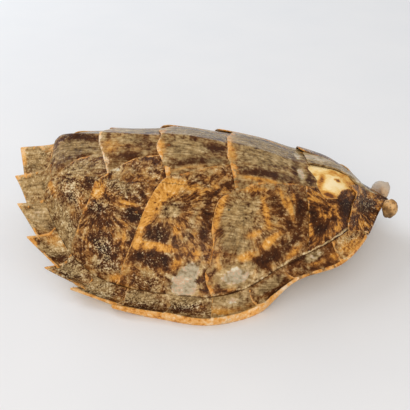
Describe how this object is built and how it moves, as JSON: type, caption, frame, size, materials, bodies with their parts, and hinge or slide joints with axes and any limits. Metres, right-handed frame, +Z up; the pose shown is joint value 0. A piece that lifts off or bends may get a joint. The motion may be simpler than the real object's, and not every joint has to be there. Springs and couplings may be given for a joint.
{
  "type": "sea turtle shell",
  "caption": "Dried and varnished upper shell of a sea turtle: a low keeled dome of overlapping horny plates, saw-toothed at the tail, with rounded bony knobs beside the neck.",
  "frame": {"origin": "under the middle of the shell's length and width, on the surface that its rim lies on", "axes": "+X towards the neck, +Y towards the animal's left flank, +Z up through the dome"},
  "size_m": [0.3644, 0.2764, 0.1122],
  "materials": {
    "horn_and_bone": "varnished horn, mottled dark brown and amber, over cream bone"
  },
  "bodies": {
    "root": {"carapace": "horn_and_bone"}
  },
  "joints": []
}
